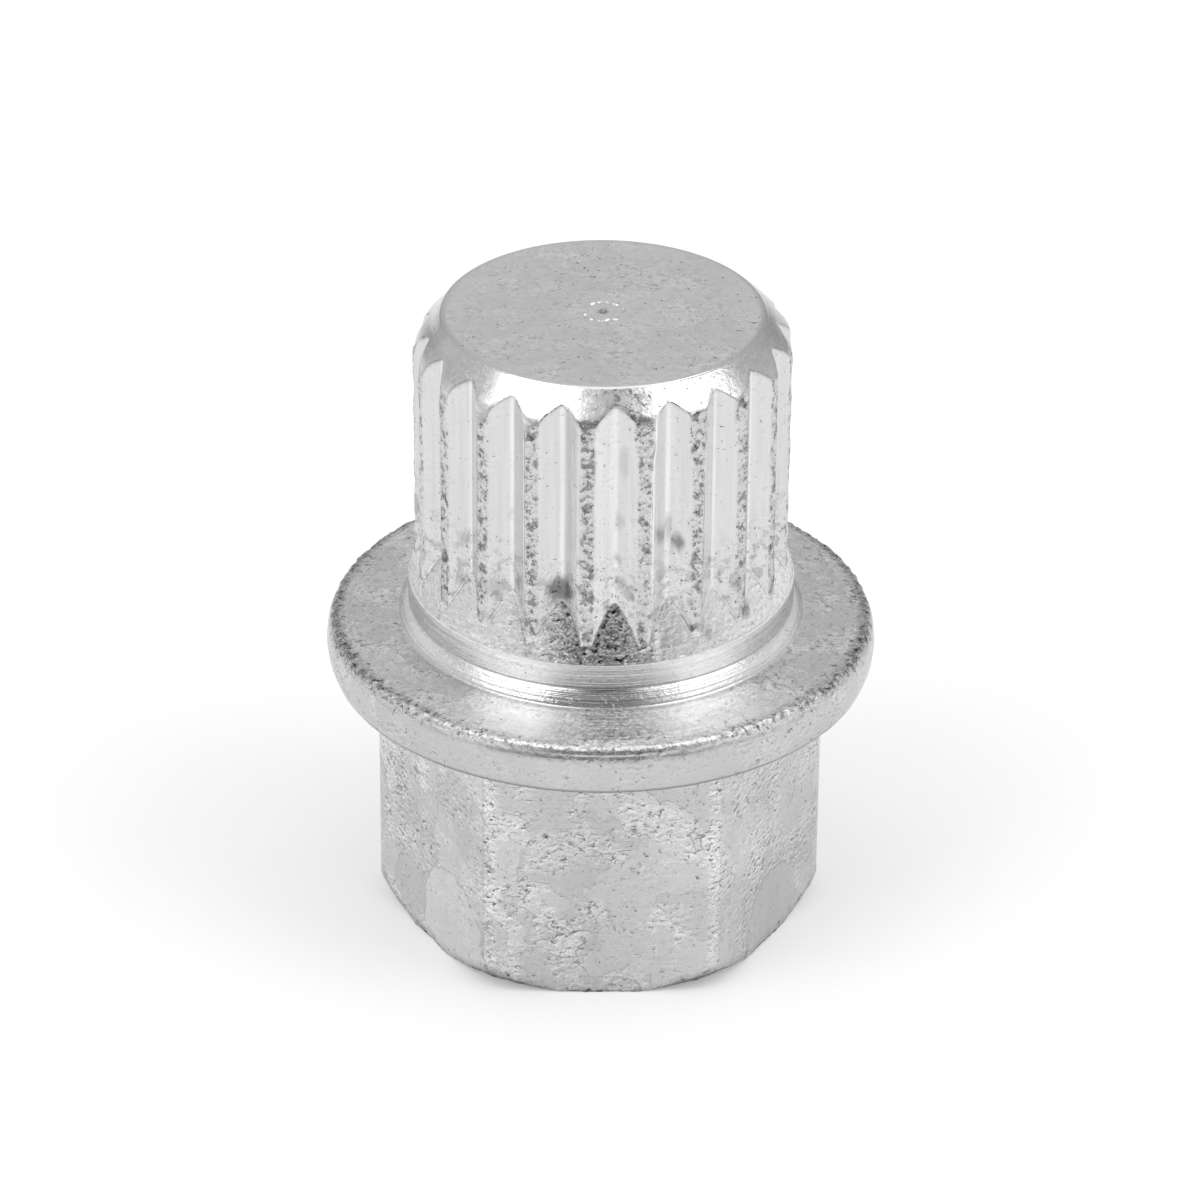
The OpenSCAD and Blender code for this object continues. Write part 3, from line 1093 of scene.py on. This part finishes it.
        # Scuffs on both sides are the zinc's own; the sides are also drawn lighter as painted
        # light
        self.blend(skin.on("hex") * sides, tone=1.06 * tone, grain=0.12 + 0.85 * scuffed,
                   streak=0.5)
        # Painted shade: the front flat is drawn darker
        self.blend(self.around("hex", 0.0, 30.0), tone=0.91 * tone)

    def hexagon_edges(self):
        """The darker, speckled hem with its burr, painted light and shade on the lower flats, a
        painted light band under the rim, and painted highlights on the edges.
        """
        skin, tone = self.skin, self.finish.hex_tone
        flats = skin.on("hex")
        self.blend(skin.hem ** 1.5, tone=0.30, speck=1.1, grain=1.4)
        burr = smooth(1.4 - (skin.z - 0.2 * MM) / (0.45 * MM)) * near(skin.az, 27.0, 10.0)
        self.blend(skin.on("hex", "hex end") * burr, tone=0.40, speck=1.0, grain=1.6)
        # Painted light and shade: the lower flats are drawn lighter on the left and darker on the
        # right
        lit = near(skin.az, -60.0, 34.0) - near(skin.az, 60.0, 34.0)
        low = smooth((6.0 * MM - skin.z) / (3.0 * MM))
        self.fields["tone"] = self.fields["tone"] * (1.0 + 0.08 * flats * low * lit)
        # Painted light: a lighter band on the flats just under the rim
        lit_under_rim = smooth(1.0 - (self.form.s.hex_h - skin.z) / (0.5 * MM))
        self.blend(flats * lit_under_rim, tone=1.12 * tone)
        # Painted highlight: the rounded corners of the hexagon are drawn lighter; their specks
        # and grain are their own
        sixth = math.radians(60.0)
        from_flat = np.degrees(np.abs((skin.az + sixth / 2.0) % sixth - sixth / 2.0))
        self.blend(flats * smooth((from_flat - 27.7) / 1.0),
                   tone=1.20 * tone, speck=0.34, grain=0.9)

    def stains(self):
        """The soft grey stains on grooves and cone."""
        skin = self.skin
        for degrees, height, across, up, strength in STAINS:
            along = turned_from(skin.az, degrees) * self.form.ridge_r / (across * MM)
            rise = (skin.z - height * MM) / (up * MM)
            inside = smooth((1.15 - np.hypot(along, rise)) / 0.45)
            dark = self.finish.stain_dark * strength * inside * skin.on("spline", "cone")
            self.fields["tone"] = self.fields["tone"] * (1.0 - dark)


def chewed_edge(form, skin):
    """1 along the battered upper edge of the rim."""
    s = form.s
    edge_r = s.flange_d / 2.0 - s.flange_belly - 0.1 * MM
    off = np.hypot(skin.r - edge_r, skin.z - form.flange_top + 0.1 * MM)
    return line(off, 0.40 * MM, 1.3) * skin.on("rim", "flange")


def rough_surface(form, skin, finish):
    """How far each point moves along its normal, in metres."""
    fine = lumps(skin.points, 0.28 * MM, 3.0)
    broad = lumps(skin.points, 1.6 * MM, 11.0)
    move = finish.land_dents * (fine - 0.5) * skin.land
    chewed = chewed_edge(form, skin) * (0.7 - 0.3 * near(skin.az, 0.0, 66.0))
    move += chewed * (finish.rim_dents * fine - finish.rim_loss)
    blunt = skin.hem + 0.5 * skin.on("hex end") + 0.25 * skin.on("hex", "rim", "under")
    move += finish.blunting * blunt * (fine + broad - 1.0)
    move += finish.cone_dents * skin.on("cone") * (fine - 0.5)
    move -= finish.edge_dip * (skin.arch + skin.runout) * (1.0 + 0.6 * fine)
    return move


class KEY_OT_wheel_lock_key(bpy.types.Operator):
    """Make the splined key with its zinc finish"""

    bl_idname = "mesh.wheel_lock_key_add"
    bl_label = "Wheel lock key"

    def execute(self, context):
        finish = context.scene.key_finish
        form = KeyForm(context.scene.key_shape)
        skin = Skin(form)
        triangles = sum(len(face) - 2 for face in skin.faces)
        if triangles > MOST_TRIANGLES:
            raise RuntimeError(f"the skin has {triangles} triangles")
        key = new_mesh_object("lock_key", skin.points, skin.faces)
        displace(key.data, rough_surface(form, skin, finish))
        for name, values in WearAndPaintedLight(form, skin, finish).fields.items():
            add_attribute(key.data, name, values)
        key.data.materials.append(zinc_material(finish))
        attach(key, "root")
        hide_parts(NODE)
        return {"FINISHED"}


def floor_material(stage):
    """A matt floor that camera and metal see as white, with its shadows kept."""
    material = bpy.data.materials.new("studio_floor")
    tree = Tree(material)
    light = "ShaderNodeLightPath"
    seen = tree.add(light, output="Is Camera Ray") + tree.add(light, output="Is Glossy Ray")
    matt = tree.add("ShaderNodeBsdfDiffuse", None, {"Color": (*stage.floor_colour, 1.0)})
    lift = tree.add("ShaderNodeEmission", None,
                    {"Color": (1.0, 1.0, 1.0, 1.0), "Strength": seen * stage.floor_lift})
    both = tree.add("ShaderNodeAddShader", None, {0: matt, 1: lift})
    tree.add("ShaderNodeOutputMaterial", None, {"Surface": both})
    return material


# Where the tent's tones change. Its heights are sines of the angle above the floor, and
# its sides are told by how far a direction leans to the left or right.
OPENING_SIDE = (-0.05, 0.06)
OPENING_TOP = (0.62, 0.78)
TENT_FOOT = (0.0, 0.45)
SIDE_START = (0.60, 0.85)
SIDE_TOP = (0.15, 0.45)
CEILING_START = (0.91, 0.97)


def light_tent(stage):
    """A pale tent with a bright ceiling, brighter sides and an opening round the camera."""
    world = bpy.data.worlds.new("light_tent")
    tree = Tree(world)
    towards = tree.add("ShaderNodeTexCoord", output="Generated")
    x, y, z = tree.add("ShaderNodeSeparateXYZ", None, {0: towards}, output=("X", "Y", "Z"))
    left, right = stage.opening_left, stage.opening_right
    from_left = x * math.cos(left) - y * math.sin(left)
    from_right = y * -math.sin(right) - x * math.cos(right)
    opening = tree.between(from_left, *OPENING_SIDE) * tree.between(from_right, *OPENING_SIDE)
    opening = opening * (1.0 - tree.between(z, *OPENING_TOP))
    aside = tree.between(x.math("ABSOLUTE", x), *SIDE_START)
    foot = stage.tent_foot
    tone = stage.tent_tone * (foot + (1.0 - foot) * tree.between(z, *TENT_FOOT))
    tone = tone + stage.tent_sides * aside * (1.0 - tree.between(z, *SIDE_TOP))
    tone = tone + (stage.ceiling_tone - stage.tent_tone) * tree.between(z, *CEILING_START)
    tone = tone + opening * (stage.opening_tone - tone)
    camera = tree.add("ShaderNodeLightPath", output="Is Camera Ray")
    strength = tone + camera * (1.0 - tone)
    back = tree.add("ShaderNodeBackground", None,
                    {"Color": (1.0, 1.0, 1.0, 1.0), "Strength": strength})
    tree.add("ShaderNodeOutputWorld", None, {"Surface": back})
    return world


def aimed(obj, place, target, roll=0.0):
    """Puts a camera or lamp at a place, turned to the target and rolled about its view."""
    turn = (Vector(target) - Vector(place)).to_track_quat("-Z", "Y")
    obj.location = place
    obj.rotation_mode = "QUATERNION"
    obj.rotation_quaternion = turn @ Quaternion((0.0, 0.0, 1.0), roll)


def round_about(azimuth, elevation, distance, height):
    """A place at that azimuth from the front, elevation and distance."""
    flat = math.cos(elevation) * distance
    return Vector((math.sin(azimuth) * flat, -math.cos(azimuth) * flat,
                   height + math.sin(elevation) * distance))


# Each lamp's name, azimuth and elevation in degrees
LAMPS = (("lamp_left", -57.0, 48.0), ("lamp_right", 69.0, 48.0))

# Nearest and farthest that the camera sees, in metres
CAMERA_REACH = (0.01, 5.0)


def studio_floor(stage):
    """The square floor that the key stands on."""
    reach = stage.floor_size / 2.0
    corners = [(-reach, -reach, 0.0), (reach, -reach, 0.0),
               (reach, reach, 0.0), (-reach, reach, 0.0)]
    floor = new_mesh_object("studio_floor", corners, [(0, 1, 2, 3)])
    floor.data.materials.append(floor_material(stage))
    return floor


def add_lamp(scene, stage, name, azimuth, elevation):
    """A soft square lamp that shines on the middle of the key."""
    lamp = bpy.data.objects.new(name, bpy.data.lights.new(name, "AREA"))
    lamp.data.size = stage.lamp_size
    lamp.data.energy = stage.lamp_power
    scene.collection.objects.link(lamp)
    middle = (CAD_LOW.z + CAD_HIGH.z) / 2.0
    place = round_about(math.radians(azimuth), math.radians(elevation),
                        stage.lamp_distance, middle)
    aimed(lamp, place, (0.0, 0.0, middle))


def add_camera(scene, stage):
    """The camera, at the place and turn that fit the photo."""
    camera = bpy.data.objects.new("camera", bpy.data.cameras.new("camera"))
    camera.data.lens = stage.lens
    camera.data.clip_start, camera.data.clip_end = CAMERA_REACH
    scene.collection.objects.link(camera)
    place = round_about(stage.azimuth, stage.elevation, stage.distance, stage.middle_h)
    aimed(camera, place, (-stage.aim_left, 0.0, stage.aim_h), stage.roll)
    scene.camera = camera


class KEY_OT_studio_stage(bpy.types.Operator):
    """Make the floor, the light tent, the lamps and the camera"""

    bl_idname = "scene.key_studio_add"
    bl_label = "Studio stage"

    def execute(self, context):
        stage = context.scene.key_studio
        studio_floor(stage)
        context.scene.world = light_tent(stage)
        for name, azimuth, elevation in LAMPS:
            add_lamp(context.scene, stage, name, azimuth, elevation)
        add_camera(context.scene, stage)
        context.scene.view_settings.view_transform = "Standard"
        return {"FINISHED"}


class KEY_PT_sidebar(bpy.types.Panel):
    """The key's pieces in the sidebar of the 3D view"""

    bl_label = "Wheel lock key"
    bl_idname = "KEY_PT_sidebar"
    bl_space_type = "VIEW_3D"
    bl_region_type = "UI"
    bl_category = "Wheel lock key"

    def draw(self, context):
        column = self.layout.column()
        for operator in (KEY_OT_wheel_lock_key, KEY_OT_studio_stage):
            column.operator(operator.bl_idname)


CLASSES = (KeyShape, KeyFinish, StudioSetup, KEY_OT_wheel_lock_key,
           KEY_OT_studio_stage, KEY_PT_sidebar)
SETTINGS = {"key_shape": KeyShape, "key_finish": KeyFinish, "key_studio": StudioSetup}


def register():
    for cls in CLASSES:
        bpy.utils.register_class(cls)
    for name, group in SETTINGS.items():
        setattr(bpy.types.Scene, name, PointerProperty(type=group))


def unregister():
    for name in SETTINGS:
        delattr(bpy.types.Scene, name)
    for cls in reversed(CLASSES):
        bpy.utils.unregister_class(cls)


def main():
    register()
    bpy.ops.scene.key_studio_add()
    bpy.ops.mesh.wheel_lock_key_add()


if __name__ == "__main__":
    main()
